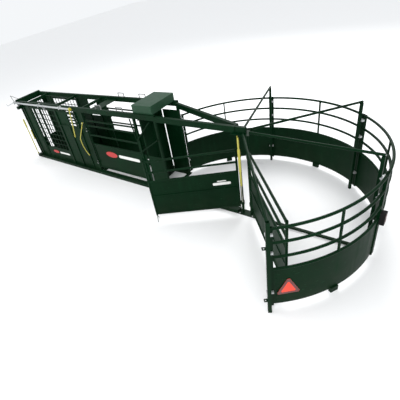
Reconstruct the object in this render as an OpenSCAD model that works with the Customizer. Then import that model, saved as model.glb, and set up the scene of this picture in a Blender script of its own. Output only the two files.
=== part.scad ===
// Portable cattle squeeze chute with its alley, tail section and round sweep tub.
// The origin is on the ground under the two hinge posts at the middle of the tub.
// The chute runs along -X, its operator's side faces -Y, and +Z is up.

/* [Tub] */
// Radius of the tub, to the middle of its rails
tub_r = 2575; // [2300:25:2900]
// Height of the tub's top rail
tub_h = 1800; // [1600:10:2000]
// Height of the tub's second rail
tub_rail_2 = 1518; // [1440:2:1540]
// Height of the tub's third rail
tub_rail_3 = 1216; // [1150:2:1300]
// Height of the top of the tub's sheeting
tub_sheet_top = 952; // [800:2:1050]
// Height of the bottom of the tub's sheeting
tub_sheet_bottom = 87; // [75:1:140]
// Diameter of the rails of the fence and the gates
rail_d = 48; // [38:1:60]
// Distance from the fence line in to a braced post
tall_post_inset = 100; // [95:1:110]
// Height of the post at the fence's free end
end_post_h = 2010; // [1900:10:2150]

/* [Gates in the tub] */
// Height of the gates' top rails
gate_h = 1690; // [1500:10:1760]
// Height of the gates' second rails
gate_rail_2 = 1398; // [1300:2:1450]
// Height of the top of the gates' sheeting
gate_sheet_top = 1160; // [1000:10:1220]
// Height of the bottom of the gates' sheeting
gate_sheet_bottom = 209; // [160:1:300]
// Length of the entry gate, from the middle of its hinge post
entry_gate_len = 2110; // [1800:10:2150]
// Length of the sweep gate, from the middle of its hinge post
sweep_gate_len = 2330; // [1900:10:2335]
// Direction of the entry gate in plan, as it stands open
entry_gate_dir = 213; // [200:1:225]
// Direction of the sweep gate in plan, as it stands open
sweep_gate_dir = -49.5; // [-54:0.5:-40]
// Distance between the two round hinge posts
hinge_post_pitch = 210; // [190:2:260]
// Radius of the round hinge posts
hinge_post_r = 30; // [25:1:34]

/* [Chute] */
// Length of the squeeze section, from its front post to the mid post
squeeze_len = 3585; // [3200:5:4200]
// Length of the alley section
alley_len = 2210; // [1900:10:2600]
// Length of the tail section under the hood
tail_len = 730; // [700:10:900]
// Distance between the middles of the side walls
chute_w = 940; // [860:10:1050]
// Height of the top of the overhead beams
beam_top = 2262; // [2200:2:2350]
// Depth of the overhead beams
beam_depth = 140; // [120:5:160]
// Width of the overhead beams
beam_w = 75; // [70:1:90]
// Height of the skids
skid_h = 98; // [80:1:110]
// Width of the skids
skid_w = 140; // [110:1:150]
// Size of the square posts
post_w = 60; // [50:1:64]
// Wall of the square and rectangular tubes
tube_wall = 5; // [3:0.5:8]
// Height of the hood above the beams
hood_h = 213; // [180:1:240]
// Length of the hood along the chute
hood_len = 650; // [560:10:680]
// Thickness of the sheet steel
sheet_t = 4; // [3:0.5:6]

/* [Moving parts] */
// Radius of the hinge pins
pin_r = 12; // [8:0.5:14]
// Running clearance between a pin and its eye, on the radius
pin_gap = 0.06; // [0.02:0.01:0.1]
// Clearance between sliding and swinging faces
slide_gap = 1; // [0.5:0.1:3]
// Thickness of the sliding doors
door_t = 40; // [30:1:44]
// Radius of the operating shaft
shaft_r = 28; // [22:1:32]
// Spacing of the bars in the squeeze side's grid
grid_pitch = 178; // [150:1:200]

/* [Hidden] */
$fn = 48;
GREEN = [0.09, 0.24, 0.15];
LIGHT_GREEN = [0.30, 0.48, 0.37];
STEEL = [0.62, 0.64, 0.64];
DARK = [0.16, 0.16, 0.16];
YELLOW = [0.80, 0.72, 0.22];
ORANGE = [0.85, 0.25, 0.10];

// Places along the chute, each the middle of a post
x_tail = 245 - tub_r;
x_gate = x_tail - tail_len;
x_mid = x_gate - alley_len;
x_front = x_mid - squeeze_len;
x_slot = x_front + 155;
x_panel_post = x_slot + 390;
x_door_end = x_mid - 340;
x_door_start = x_door_end - 550;
x_panel_end = x_door_start - 510;
x_nose = x_front - 195;
x_foot = -190;
half_post = post_w / 2;
half_beam = beam_w / 2;
skid_out = skid_w - half_post;
beam_bottom = beam_top - beam_depth;
beam_x0 = x_front - 85;
beam_x1 = x_tail + half_post;
POST_X = [
    x_front, x_slot, x_panel_post, x_panel_end, x_door_start, x_door_end, x_mid, x_gate, x_tail,
];
hood_x0 = x_tail - 54 - hood_len;
hood_side_gap = 10;
door_z0 = skid_h + 22;
head_door_x = (x_front + x_slot) / 2;
head_door_h = beam_bottom - door_z0 - 42;
neck_gap = 150;
head_door_w = (chute_w - neck_gap) / 2 - half_post;
tail_door_x = x_gate + 160;
tail_door_w = chute_w / 2 - half_post - slide_gap;
shaft_y = -110;
shaft_z = beam_top - 37;
shaft_x1 = x_door_end - 40;
latch_x = -59;
latch_y_tub = -83;
latch_pivot_z = beam_top - 219;
latch_foot_z = 825;

// The overhead frame of the tub and the posts that carry it
frame_depth = 135;
frame_bottom = beam_top - 27 - frame_depth;
plate_t = 12;
tall_post_w = 50;
brace_z = frame_bottom + rail_d / 2;
tall_post_r = tub_r - tall_post_inset;
JOINT_ANGLES = [156, 101, 46, -4.5, -55];
end_post_angle = -55.6;
end_post_r = tub_r + 90;
panel_gap_angle = 0.7;
tube_bore = 3.5;

// The squeeze sides
panel_x0 = x_panel_post + half_post + 30;
panel_x1 = x_panel_end - half_post - 3;
panel_z0 = skid_h + 9;
panel_z1 = beam_bottom - 32;
panel_t = 50;
squeeze_pin_z = panel_z0 + panel_t / 2;
squeeze_sheet_z = 560;
grid_bar = 22;

// The alley's side gates
alley_pin_x = x_mid + half_post + 24;
alley_pin_y = -(half_post + 22);
alley_x0 = alley_pin_x + 26;
alley_x1 = x_gate - half_post - 30;
ALLEY_RAILS = [1858, 1692, 1382, 1069, 247];
ALLEY_LUGS = [400, 1540];

// The tub's gates turn on collars round their posts
collar_h = 70;
COLLAR_Z = [gate_sheet_bottom + 60, gate_h - 150];
collar_t = 12;
gate_upright_x = hinge_post_r + collar_t + 26;

module near_side() {
    children();
}
module far_side() {
    translate([0, chute_w, 0])
        mirror([0, 1, 0])
            children();
}
module both_sides() {
    near_side() children();
    far_side() children();
}

// A rectangular tube along X, Y or Z between two corners
module box_tube(low, high, along) {
    size = high - low;
    inner = [for (i = [0:2]) i == along ? size[i] + 2 : size[i] - 2 * tube_wall];
    start = [for (i = [0:2]) i == along ? low[i] - 1 : low[i] + tube_wall];
    difference() {
        translate(low) cube(size);
        translate(start) cube(inner);
    }
}
module solid_box(low, high) {
    translate(low) cube(high - low);
}
// A round bar between two points
module rod(from, to, r) {
    d = to - from;
    length = norm(d);
    translate(from)
        rotate([0, acos(d[2] / length), atan2(d[1], d[0])])
            cylinder(r = r, h = length);
}

// ---- The chute's frame ----
module skids() {
    color(GREEN) {
        box_tube([x_nose, -skid_out, 0], [x_foot, half_post, skid_h], 0);
        // The far skid is notched for the end of the first panel
        difference() {
            box_tube([x_nose, chute_w - half_post, 0],
                     [x_tail + half_post, chute_w + skid_out, skid_h], 0);
            solid_box([x_tail - 50, chute_w + skid_out - 14, -1],
                      [x_tail + half_post + 1, chute_w + skid_out + 1, skid_h + 1]);
        }
        for (x = [x_front - half_post, x_mid, x_gate, x_tail - half_post])
            box_tube([x, half_post, 0], [x + 60, chute_w - half_post, 60], 1);
    }
}
module floor_pan() {
    floor_x0 = x_front + 40;
    floor_x1 = x_mid - 10;
    floor_t = 6;
    cleat_pitch = 240;
    color(GREEN) {
        solid_box([floor_x0, half_post, 60], [floor_x1, chute_w - half_post, 60 + floor_t]);
        for (x = [floor_x0 + 60:cleat_pitch:floor_x1 - 60])
            solid_box([x, 60, 60 + floor_t], [x + 20, chute_w - 60, 78]);
    }
}
module posts() {
    for (x = POST_X)
        box_tube([x - half_post, -half_post, skid_h], [x + half_post, half_post, beam_bottom], 2);
}
module posts_near() {
    color(GREEN) near_side() posts();
}
module posts_far() {
    color(GREEN) far_side() posts();
}
HANDLE_X = [x_mid + 770, x_gate - 580];
handle_len = 230;
handle_r = 12;
module beams() {
    color(GREEN) both_sides()
        difference() {
            box_tube([beam_x0, -half_beam, beam_bottom], [beam_x1, half_beam, beam_top], 0);
            for (x = HANDLE_X, end = [0, handle_len])
                translate([x + end, 0, beam_top - tube_wall - 1])
                    cylinder(r = handle_r + pin_gap, h = tube_wall + 2);
        }
}
module head_crossbeam() {
    cross_d = 100;
    cross_top = beam_top + 38;
    bail_top = [beam_x0 - 150, shaft_y, shaft_z + 258];
    color(GREEN) {
        box_tube([beam_x0 - cross_d, -half_beam, beam_bottom - 12],
                 [beam_x0, chute_w + half_beam, cross_top], 1);
        for (y = [half_beam, chute_w - half_beam - plate_t])
            solid_box([beam_x0, y, beam_bottom + 20], [beam_x0 + 180, y + plate_t, beam_top]);
        rod([beam_x0 - 55, shaft_y, shaft_z + 45], bail_top, 7);
        translate(bail_top) sphere(r = 8);
        rod(bail_top, [beam_x0 - 50, 90, cross_top - 2], 7);
    }
}
module overhead_ties() {
    color(GREEN) {
        for (x = [x_panel_end - 30, x_mid - 60, x_gate - 30])
            box_tube([x, half_beam, beam_bottom + 30], [x + 60, chute_w - half_beam, beam_top - 40],
                     1);
        solid_box([x_mid + 330, half_beam, beam_bottom + 60],
                  [x_mid + 700, chute_w - half_beam, beam_bottom + 60 + plate_t]);
        for (y = [180, chute_w - 180])
            translate([x_panel_post, y, beam_top - 60])
                rotate([0, 90, 0])
                    cylinder(r = 17, h = x_panel_end - 30 - x_panel_post);
        solid_box([x_panel_post - 40, half_beam, beam_top - 100],
                  [x_panel_post, chute_w - half_beam, beam_top - 20]);
    }
}
// Sheets between the fixed posts: [start post, end post, top]
module fixed_sheets() {
    lap = half_post;
    spans = [
        [x_slot, x_panel_post, beam_bottom], [x_panel_end, x_door_start, beam_bottom],
        [x_door_start, x_door_end, 1560], [x_door_end, x_mid, beam_bottom],
    ];
    color(GREEN) both_sides()
        for (s = spans)
            solid_box([s[0] + lap, -sheet_t / 2, skid_h], [s[1] - lap, sheet_t / 2, s[2]]);
}

// ---- The head gate ----
module door_track(x, z0, z1, slot_z0, slot_z1, y0, y1) {
    slot = door_t + 2 * slide_gap;
    half = (x_slot - x_front) / 2 - half_post;
    difference() {
        solid_box([x - half, y0, z0], [x + half, y1, z1]);
        solid_box([x - slot / 2, y0 - 1, slot_z0], [x + slot / 2, y1 + 1, slot_z1]);
    }
}
module head_gate_tracks() {
    y1 = half_post + 170;
    color(GREEN) {
        door_track(head_door_x, beam_bottom - 100, beam_bottom, beam_bottom - 101,
                   beam_bottom - 40, -y1, chute_w + y1);
        door_track(head_door_x, skid_h, skid_h + 50, door_z0 - slide_gap, skid_h + 51,
                   -y1, chute_w + y1);
    }
}
module head_door() {
    edge = 60;
    sheet_h = 430;
    bar_pitch = (head_door_w - 2 * edge) / 3;
    y0 = half_post;
    y1 = y0 + head_door_w;
    translate([head_door_x, 0, 0]) {
        difference() {
            solid_box([-door_t / 2, y0, door_z0], [door_t / 2, y1, door_z0 + head_door_h]);
            for (side = [-1, 1])
                translate([side * (door_t / 2 + sheet_t / 2) - door_t / 2, y0 + edge,
                           door_z0 + edge])
                    cube([door_t, head_door_w - 2 * edge, sheet_h]);
            translate([-door_t, y0 + edge, door_z0 + 2 * edge + sheet_h])
                cube([2 * door_t, head_door_w - 2 * edge, head_door_h - 3 * edge - sheet_h]);
        }
        for (i = [1, 2])
            translate([-10, y0 + edge + i * bar_pitch - 10, door_z0 + 2 * edge + sheet_h])
                cube([20, 20, head_door_h - 3 * edge - sheet_h]);
        translate([0, y1, door_z0 + 120])
            difference() {
                cylinder(r = door_t / 2, h = head_door_h - 240);
                translate([-door_t, -door_t, -1]) cube([2 * door_t, door_t, head_door_h]);
            }
    }
}
module head_door_near() {
    color(GREEN) near_side() head_door();
}
module head_door_far() {
    color(GREEN) far_side() head_door();
}

// ---- The operating shaft along the beam ----
BEARING_X = [beam_x0 - 70, x_panel_post + 900, x_door_start - 30];
bearing_w = 30;
module shaft_bearings() {
    color(STEEL)
        for (x = BEARING_X)
            difference() {
                solid_box([x, shaft_y - 42, shaft_z - 42], [x + bearing_w, -half_beam, shaft_z + 42]);
                translate([x - 1, shaft_y, shaft_z])
                    rotate([0, 90, 0])
                        cylinder(r = shaft_r + pin_gap, h = bearing_w + 2);
            }
}
module operating_shaft() {
    shaft_x0 = beam_x0 - 160;
    stick = [shaft_x0 + 20, shaft_y - 260, shaft_z - 20];
    color(STEEL) {
        translate([shaft_x0, shaft_y, shaft_z])
            rotate([0, 90, 0])
                cylinder(r = shaft_r, h = shaft_x1 - shaft_x0);
        rod([shaft_x0 + 20, shaft_y, shaft_z], stick, 9);
        rod(stick + [0, 8, 0], stick + [-25, 0, 75], 8);
        for (side = [-1, 1])
            translate([BEARING_X[1] + bearing_w / 2 + side * (bearing_w / 2 + slide_gap + 10) - 10,
                       shaft_y, shaft_z])
                rotate([0, 90, 0])
                    cylinder(r = shaft_r + 12, h = 20);
    }
}
lever_tip = [shaft_x1 - 200, shaft_y - 30, 1282];
module shaft_lever() {
    lever_root = [shaft_x1 + 28, shaft_y - 30, shaft_z - 10];
    color(YELLOW)
        difference() {
            union() {
                rod(lever_tip, lever_root, 15);
                translate([shaft_x1, shaft_y, shaft_z])
                    rotate([0, 90, 0])
                        cylinder(r = 46, h = 56);
            }
            translate([shaft_x1 - 60, shaft_y, shaft_z])
                rotate([0, 90, 0])
                    cylinder(r = shaft_r + 0.5, h = 60);
        }
}

// ---- Levers beside the head gate ----
head_pivot = [x_nose + 30, -skid_out + 10, 140];
head_grip_low = [x_front - 120, -skid_out + 10, 1253];
head_grip_top = head_grip_low + 0.295 * (head_grip_low - head_pivot);
module head_lever() {
    color(YELLOW)
        difference() {
            union() {
                rod(head_pivot, head_grip_low, 12);
                translate(head_pivot + [0, -14, 0])
                    rotate([-90, 0, 0])
                        cylinder(r = 26, h = 28);
            }
            translate(head_pivot + [0, -20, 0])
                rotate([-90, 0, 0])
                    cylinder(r = pin_r + pin_gap, h = 40);
        }
}
module head_lever_grip() {
    color(YELLOW)
        rod(head_grip_low, head_grip_top, 22);
}
latch_y = -half_post - 24;
module head_latch_handle() {
    color(YELLOW)
        difference() {
            union() {
                translate([x_front, latch_y, 790]) cylinder(r = 17, h = 350);
                translate([x_front, latch_y - 20, 790])
                    rotate([-90, 0, 0])
                        cylinder(r = 26, h = 40);
            }
            translate([x_front, latch_y - 30, 790])
                rotate([-90, 0, 0])
                    cylinder(r = pin_r + pin_gap, h = 60);
        }
}

// ---- The squeeze sides ----
module squeeze_frame() {
    half = panel_t / 2;
    pin_hole = 80;
    difference() {
        union() {
            solid_box([panel_x0, -half, panel_z0], [panel_x1, half, panel_z0 + panel_t]);
            box_tube([panel_x0, -half, panel_z1 - panel_t], [panel_x1, half, panel_z1], 0);
            for (x = [panel_x0, panel_x1 - panel_t])
                box_tube([x, -half, panel_z0 + panel_t], [x + panel_t, half, panel_z1 - panel_t], 2);
        }
        for (x = [panel_x0 - 1, panel_x1 - pin_hole])
            translate([x, 0, squeeze_pin_z])
                rotate([0, 90, 0])
                    cylinder(r = pin_r + pin_gap, h = pin_hole + 1);
    }
}
module squeeze_bars() {
    x0 = panel_x0 + panel_t;
    x1 = panel_x1 - panel_t;
    z0 = squeeze_sheet_z;
    z1 = panel_z1 - panel_t;
    columns = floor((x1 - x0) / grid_pitch);
    rows = floor((z1 - z0) / grid_pitch);
    column_w = (x1 - x0) / columns;
    row_h = (z1 - z0) / rows;
    for (i = [1:columns - 1])
        solid_box([x0 + i * column_w - grid_bar / 2, -6, z0], [x0 + i * column_w + grid_bar / 2, 6, z1]);
    for (j = [1:rows - 1])
        solid_box([x0, -6, z0 + j * row_h - grid_bar / 2], [x1, 6, z0 + j * row_h + grid_bar / 2]);
    solid_box([x0, -10, z0 - 20], [x1, 10, z0]);
}
module squeeze_sheet() {
    solid_box([panel_x0 + panel_t, -sheet_t / 2, panel_z0 + panel_t],
              [panel_x1 - panel_t, sheet_t / 2, squeeze_sheet_z - 20]);
}
module squeeze_frame_near() {
    color(GREEN) near_side() squeeze_frame();
}
module squeeze_bars_near() {
    color(GREEN) near_side() squeeze_bars();
}
module squeeze_sheet_near() {
    color(GREEN) near_side() squeeze_sheet();
}
module squeeze_frame_far() {
    color(GREEN) far_side() squeeze_frame();
}
module squeeze_bars_far() {
    color(GREEN) far_side() squeeze_bars();
}
module squeeze_sheet_far() {
    color(GREEN) far_side() squeeze_sheet();
}
// The bowed lever hangs from a pin on the mid post
bow_y = -half_post - 48;
bow_pivot = [x_mid - 20, bow_y, 1790];
bow_r = 659;
bow_centre = [x_mid + 221, bow_y, 1092];
bow_start = 167.8;
bow_end = 223.8;
module squeeze_lever() {
    bow_top = bow_centre + bow_r * [cos(bow_start), 0, sin(bow_start)];
    color(YELLOW)
        difference() {
            union() {
                rod(bow_pivot, bow_top, 13);
                translate(bow_top) sphere(r = 16);
                translate(bow_centre)
                    rotate([90, 0, 0])
                        rotate_extrude(start = bow_start, angle = bow_end - bow_start)
                            translate([bow_r, 0]) circle(r = 13);
                translate(bow_pivot + [0, -16, 0])
                    rotate([-90, 0, 0])
                        cylinder(r = 28, h = 32);
            }
            translate(bow_pivot + [0, -40, 0])
                rotate([-90, 0, 0])
                    cylinder(r = pin_r + pin_gap, h = 80);
        }
}

// ---- The sliding access door ----
access_z0 = 1590;
access_z1 = 2066;
access_y = -half_post - 1;
access_t = 10;
module access_door_rails() {
    rail_y0 = access_y - access_t - slide_gap - 6;
    color(GREEN)
        for (z = [access_z0 - 25, access_z1 + 1])
            difference() {
                solid_box([x_panel_end - half_post, rail_y0, z],
                          [x_door_end + half_post, -half_post, z + 24]);
                solid_box([x_panel_end - half_post - 1, access_y - access_t - slide_gap,
                           z == access_z1 + 1 ? z - 1 : z + 12],
                          [x_door_end + half_post + 1, -half_post + 1,
                           z == access_z1 + 1 ? z + 12 : z + 25]);
            }
}
module access_door() {
    x0 = x_door_start + 30;
    x1 = x_door_end - 30;
    slots = 4;
    pitch = (access_z1 - access_z0 - 60) / slots;
    color(GREEN)
        difference() {
            solid_box([x0, access_y - access_t, access_z0 - 12], [x1, access_y, access_z1 + 12]);
            for (i = [0:slots - 1])
                solid_box([x0 + 50, access_y - access_t - 1, access_z0 + 40 + i * pitch],
                          [x1 - 50, access_y + 1, access_z0 + 40 + i * pitch + pitch * 0.55]);
        }
}

// ---- Pins and lugs on the fixed posts ----
lug_t = 12;
module chute_hinge_lugs() {
    color(STEEL) {
        both_sides() {
            for (z = ALLEY_LUGS) {
                solid_box([alley_pin_x - 42, alley_pin_y - 22, z - slide_gap - lug_t],
                          [alley_pin_x + 20, -half_post, z - slide_gap]);
                translate([alley_pin_x, alley_pin_y, z - slide_gap])
                    cylinder(r = pin_r, h = 76);
            }
            translate([panel_x0 - 30, 0, squeeze_pin_z])
                rotate([0, 90, 0])
                    cylinder(r = pin_r, h = 90);
            translate([panel_x1 - 60, 0, squeeze_pin_z])
                rotate([0, 90, 0])
                    cylinder(r = pin_r, h = 63);
        }
        translate([bow_pivot[0], bow_pivot[1] - 20, bow_pivot[2]])
            rotate([-90, 0, 0])
                cylinder(r = pin_r, h = -bow_y - half_post + 20);
        translate([x_front, latch_y - 24, 790])
            rotate([-90, 0, 0])
                cylinder(r = pin_r, h = -latch_y - half_post + 24);
        translate(head_pivot + [0, -20, 0])
            rotate([-90, 0, 0])
                cylinder(r = pin_r, h = 56);
        solid_box([head_pivot[0] - 30, head_pivot[1] + 14 + slide_gap, skid_h],
                  [head_pivot[0] + 30, head_pivot[1] + 14 + slide_gap + lug_t, head_pivot[2] + 30]);
    }
}

// ---- The alley's side gates ----
module alley_tubes(d) {
    open = d < rail_d ? 1 : 0;
    for (z = ALLEY_RAILS)
        translate([alley_x0, 0, z])
            rotate([0, 90, 0])
                cylinder(d = d, h = alley_x1 - alley_x0);
    for (x = [alley_x0, alley_x1])
        translate([x, 0, ALLEY_RAILS[4] - 24 - open])
            cylinder(d = d, h = ALLEY_RAILS[0] - ALLEY_RAILS[4] + 48 + 2 * open);
}
module alley_gate() {
    eye_r = pin_r + 9;
    difference() {
        union() {
            alley_tubes(rail_d);
            solid_box([alley_x0, -sheet_t / 2, ALLEY_RAILS[4]],
                      [alley_x1, sheet_t / 2, ALLEY_RAILS[3]]);
            for (z = ALLEY_LUGS) {
                translate([alley_pin_x, alley_pin_y, z]) cylinder(r = eye_r, h = 60);
                solid_box([alley_x0 - 8, alley_pin_y, z], [alley_x0 + 8, 0, z + 60]);
                solid_box([alley_pin_x, alley_pin_y - 8, z], [alley_x0 + 8, alley_pin_y + 8, z + 60]);
            }
            solid_box([alley_x1 - 10, -60, 885], [alley_x1 + 50, -half_post - 2, 925]);
            solid_box([alley_x1 - 10, -60, 885], [alley_x1 + 10, -10, 925]);
        }
        alley_tubes(rail_d - 2 * tube_bore);
        for (z = ALLEY_LUGS)
            translate([alley_pin_x, alley_pin_y, z - 1])
                cylinder(r = pin_r + pin_gap, h = 62);
    }
}
module alley_door_near() {
    color(GREEN) near_side() alley_gate();
}
module alley_door_far() {
    color(GREEN) far_side() alley_gate();
}

// ---- Lift handles that stand in the beams ----
module lift_handle(index) {
    x = HANDLE_X[index % 2];
    y = index < 2 ? 0 : chute_w;
    top = beam_top + 118;
    foot = beam_top - 62;
    color(DARK) {
        for (end = [0, handle_len])
            translate([x + end, y, foot])
                cylinder(r = handle_r, h = top - foot);
        translate([x, y, top])
            rotate([0, 90, 0])
                cylinder(r = handle_r, h = handle_len);
        for (end = [0, handle_len])
            translate([x + end, y, top]) sphere(r = handle_r);
        for (end = [0, handle_len])
            translate([x + end, y, beam_top + slide_gap]) cylinder(r = 19, h = 8);
    }
}
module lift_handle_1() {
    lift_handle(0);
}
module lift_handle_2() {
    lift_handle(1);
}
module lift_handle_3() {
    lift_handle(2);
}
module lift_handle_4() {
    lift_handle(3);
}

// ---- The tail section ----
module hood() {
    low = [hood_x0, hood_side_gap, beam_top];
    high = [hood_x0 + hood_len, chute_w - hood_side_gap, beam_top + hood_h];
    t = [sheet_t, sheet_t, 0];
    color(LIGHT_GREEN)
        difference() {
            solid_box(low, high);
            solid_box(low + t - [0, 0, 1], high - t - [0, 0, sheet_t]);
        }
}
module tail_walls() {
    slot = door_t / 2 + 5;
    x0 = x_gate + half_post;
    x1 = x_tail - half_post;
    tops = [2000, 1060];
    color(GREEN)
        for (side = [0, 1]) {
            y = side == 0 ? chute_w : 0;
            for (span = [[x0, tail_door_x - slot], [tail_door_x + slot, x1]])
                solid_box([span[0], y - sheet_t / 2, skid_h], [span[1], y + sheet_t / 2, tops[side]]);
        }
    color(GREEN)
        rod([x_gate - 116, -half_post - 8, beam_bottom - 10], [x_gate - 39, -half_post - 8, 1519], 8);
}
// The two arms ride on brackets that reach the near door through its slot
module tail_braces() {
    y = -half_post - 8;
    low = [[x_gate - 25, y, 1505], [x_gate, y, 1145]];
    high = [[x_tail - 160, y, 2090], [x_tail, y, 1620]];
    color(GREEN)
        for (i = [0, 1]) {
            along = (tail_door_x - low[i][0]) / (high[i][0] - low[i][0]);
            z = low[i][2] + along * (high[i][2] - low[i][2]);
            rod(low[i], high[i], 8);
            solid_box([tail_door_x - 8, y + 2, z - 20], [tail_door_x + 8, half_post, z + 20]);
        }
}
module tail_track() {
    half = 34;
    slot = door_t / 2 + slide_gap;
    color(GREEN) {
        difference() {
            solid_box([tail_door_x - half, half_beam - 40, beam_bottom - 60],
                      [tail_door_x + half, chute_w - half_beam + 40, beam_bottom]);
            solid_box([tail_door_x - slot, half_beam - 41, beam_bottom - 61],
                      [tail_door_x + slot, chute_w - half_beam + 41, beam_bottom - 30]);
        }
        difference() {
            solid_box([tail_door_x - half, half_post - 5, 0],
                      [tail_door_x + half, chute_w - half_post + 5, 90]);
            solid_box([tail_door_x - half - 1, half_post - 6, -1],
                      [tail_door_x + half + 1, half_post, skid_h + 1]);
            solid_box([tail_door_x - half - 1, chute_w - half_post, -1],
                      [tail_door_x + half + 1, chute_w - half_post + 6, skid_h + 1]);
        }
    }
}
tail_door_z0 = skid_h + 10;
tail_door_z1 = beam_bottom - 32;
module tail_door() {
    y0 = half_post;
    y1 = y0 + tail_door_w;
    edge = 60;
    difference() {
        solid_box([tail_door_x - door_t / 2, y0, tail_door_z0],
                  [tail_door_x + door_t / 2, y1, tail_door_z1]);
        for (side = [-1, 1])
            translate([tail_door_x + side * (door_t / 2 + sheet_t / 2) - door_t / 2, y0 + edge,
                       tail_door_z0 + edge])
                cube([door_t, tail_door_w - 2 * edge, tail_door_z1 - tail_door_z0 - 2 * edge]);
    }
    translate([tail_door_x + door_t / 2, y1 - 60, 1264])
        rotate([90, 0, 90])
            difference() {
                translate([0, 40, 0]) cylinder(r = 46, h = 14);
                translate([0, 40, -1]) cylinder(r = 34, h = 16);
            }
}
module tail_door_near() {
    color(GREEN) near_side() tail_door();
}
module tail_door_far() {
    color(GREEN) far_side() tail_door();
}

// ---- The overhead frame and the middle of the tub ----
apex_x = 130;
module overhead_frame() {
    near = [x_tail + half_post, 0];
    far = [x_tail + half_post, chute_w - 60];
    // Each beam runs from the chute to the apex plate, cut square to the chute's end
    color(GREEN)
        for (start = [near, far]) {
            d = [-apex_x - start[0], (start[1] > 0 ? 60 : -20) - start[1]];
            length = norm(d);
            difference() {
                translate([start[0], start[1], frame_bottom])
                    rotate([0, 0, atan2(d[1], d[0])])
                        difference() {
                            translate([-60, -half_beam, 0]) cube([length + 60, beam_w, frame_depth]);
                            translate([-61, -half_beam + tube_wall, tube_wall])
                                cube([length + 62, beam_w - 2 * tube_wall,
                                      frame_depth - 2 * tube_wall]);
                        }
                translate([start[0] - 200, start[1] - 200, frame_bottom - 1])
                    cube([200, 400, frame_depth + 2]);
                if (start[1] > 0)
                    translate([-apex_x - 400, 20 - 100, frame_bottom - 1])
                        cube([600, 100, frame_depth + 2]);
            }
        }
}
module apex_plate() {
    half = 200;
    color(GREEN) {
        solid_box([-half, -120, frame_bottom - plate_t], [half, 130, frame_bottom]);
        solid_box([-apex_x + 10, -55, frame_bottom], [apex_x - 30, 15, frame_bottom + frame_depth]);
        for (side = [-1, 1])
            translate([latch_x + side * 14 - 4, latch_y_tub - 25, latch_pivot_z - 18])
                cube([8, 50, frame_bottom - plate_t - latch_pivot_z + 18]);
        translate([latch_x - 18, latch_y_tub, latch_pivot_z])
            rotate([0, 90, 0])
                cylinder(r = pin_r, h = 36);
    }
}
module hinge_posts() {
    for (side = [-1, 1])
        color(GREEN)
            translate([side * hinge_post_pitch / 2, 0, 0])
                difference() {
                    union() {
                        translate([0, 0, plate_t])
                            cylinder(r = hinge_post_r, h = frame_bottom - 2 * plate_t);
                        for (z = COLLAR_Z)
                            translate([0, 0, z - slide_gap - 20])
                                cylinder(r = hinge_post_r + collar_t, h = 20);
                    }
                    translate([0, 0, plate_t - 1])
                        cylinder(r = hinge_post_r - tube_wall, h = frame_bottom - 2 * plate_t + 2);
                }
}
FOOT_HOLES = [[-160, -85], [160, -85], [-160, 65], [160, 65]];
module centre_foot() {
    hole_r = 9;
    color(GREEN)
        difference() {
            union() {
                solid_box([x_foot, -skid_out, 0], [-x_foot, 90, plate_t]);
                for (side = [0, 1])
                    mirror([side, 0, 0])
                        solid_box([x_foot, -skid_out + 50, plate_t],
                                  [x_foot + 12, 50, skid_h]);
            }
            for (p = FOOT_HOLES)
                translate([p[0], p[1], -1]) cylinder(r = hole_r, h = plate_t + 2);
        }
}
module spreader_bar() {
    bar = 50;
    color(GREEN)
        solid_box([-x_foot, -skid_out - 5, 0], [tall_post_r * cos(4.5) - 60, -skid_out - 5 + bar, bar]);
}

// ---- The two gates in the tub ----
module at_gate(side, dir) {
    translate([side * hinge_post_pitch / 2, 0, 0])
        rotate([0, 0, dir])
            children();
}
module gate_tubes(length, d) {
    open = d < rail_d ? 1 : 0;
    x1 = length - rail_d / 2;
    for (z = [gate_h, gate_rail_2, gate_sheet_top, gate_sheet_bottom])
        translate([gate_upright_x, 0, z])
            rotate([0, 90, 0])
                cylinder(d = d, h = x1 - gate_upright_x);
    for (x = [gate_upright_x, x1])
        translate([x, 0, gate_sheet_bottom - rail_d / 2 - open])
            cylinder(d = d, h = gate_h - gate_sheet_bottom + rail_d + 2 * open);
}
module tub_gate(length, with_foot) {
    x1 = length - rail_d / 2;
    difference() {
        union() {
            gate_tubes(length, rail_d);
            for (z = COLLAR_Z) {
                translate([0, 0, z]) cylinder(r = hinge_post_r + collar_t, h = collar_h);
                solid_box([hinge_post_r + 2, -10, z], [gate_upright_x, 10, z + collar_h]);
            }
        }
        gate_tubes(length, rail_d - 2 * tube_bore);
        for (z = COLLAR_Z)
            translate([0, 0, z - 1])
                cylinder(r = hinge_post_r + pin_gap, h = collar_h + 2);
    }
    if (with_foot) {
        plug_z = gate_sheet_bottom - rail_d / 2 - 14;
        translate([x1, 0, plug_z]) cylinder(d = rail_d, h = 14);
        for (side = [-1, 1])
            rod([x1, 0, plug_z + 8], [x1, side * 90, 14], 8);
    }
}
module tub_gate_sheet(length) {
    x1 = length - rail_d / 2;
    crease_z = 740;
    difference() {
        union() {
            solid_box([gate_upright_x, -sheet_t / 2, gate_sheet_bottom],
                      [x1, sheet_t / 2, gate_sheet_top]);
            solid_box([gate_upright_x, -15, crease_z - 20], [x1, 15, crease_z + 20]);
        }
        gate_tubes(length, rail_d);
    }
}
module entry_gate() {
    color(GREEN) at_gate(-1, entry_gate_dir) tub_gate(entry_gate_len, true);
}
module entry_gate_sheet() {
    color(GREEN) at_gate(-1, entry_gate_dir) tub_gate_sheet(entry_gate_len);
}
module sweep_gate() {
    color(GREEN) at_gate(1, sweep_gate_dir) tub_gate(sweep_gate_len, false);
}
module sweep_gate_sheet() {
    color(GREEN) at_gate(1, sweep_gate_dir) tub_gate_sheet(sweep_gate_len);
}
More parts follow.
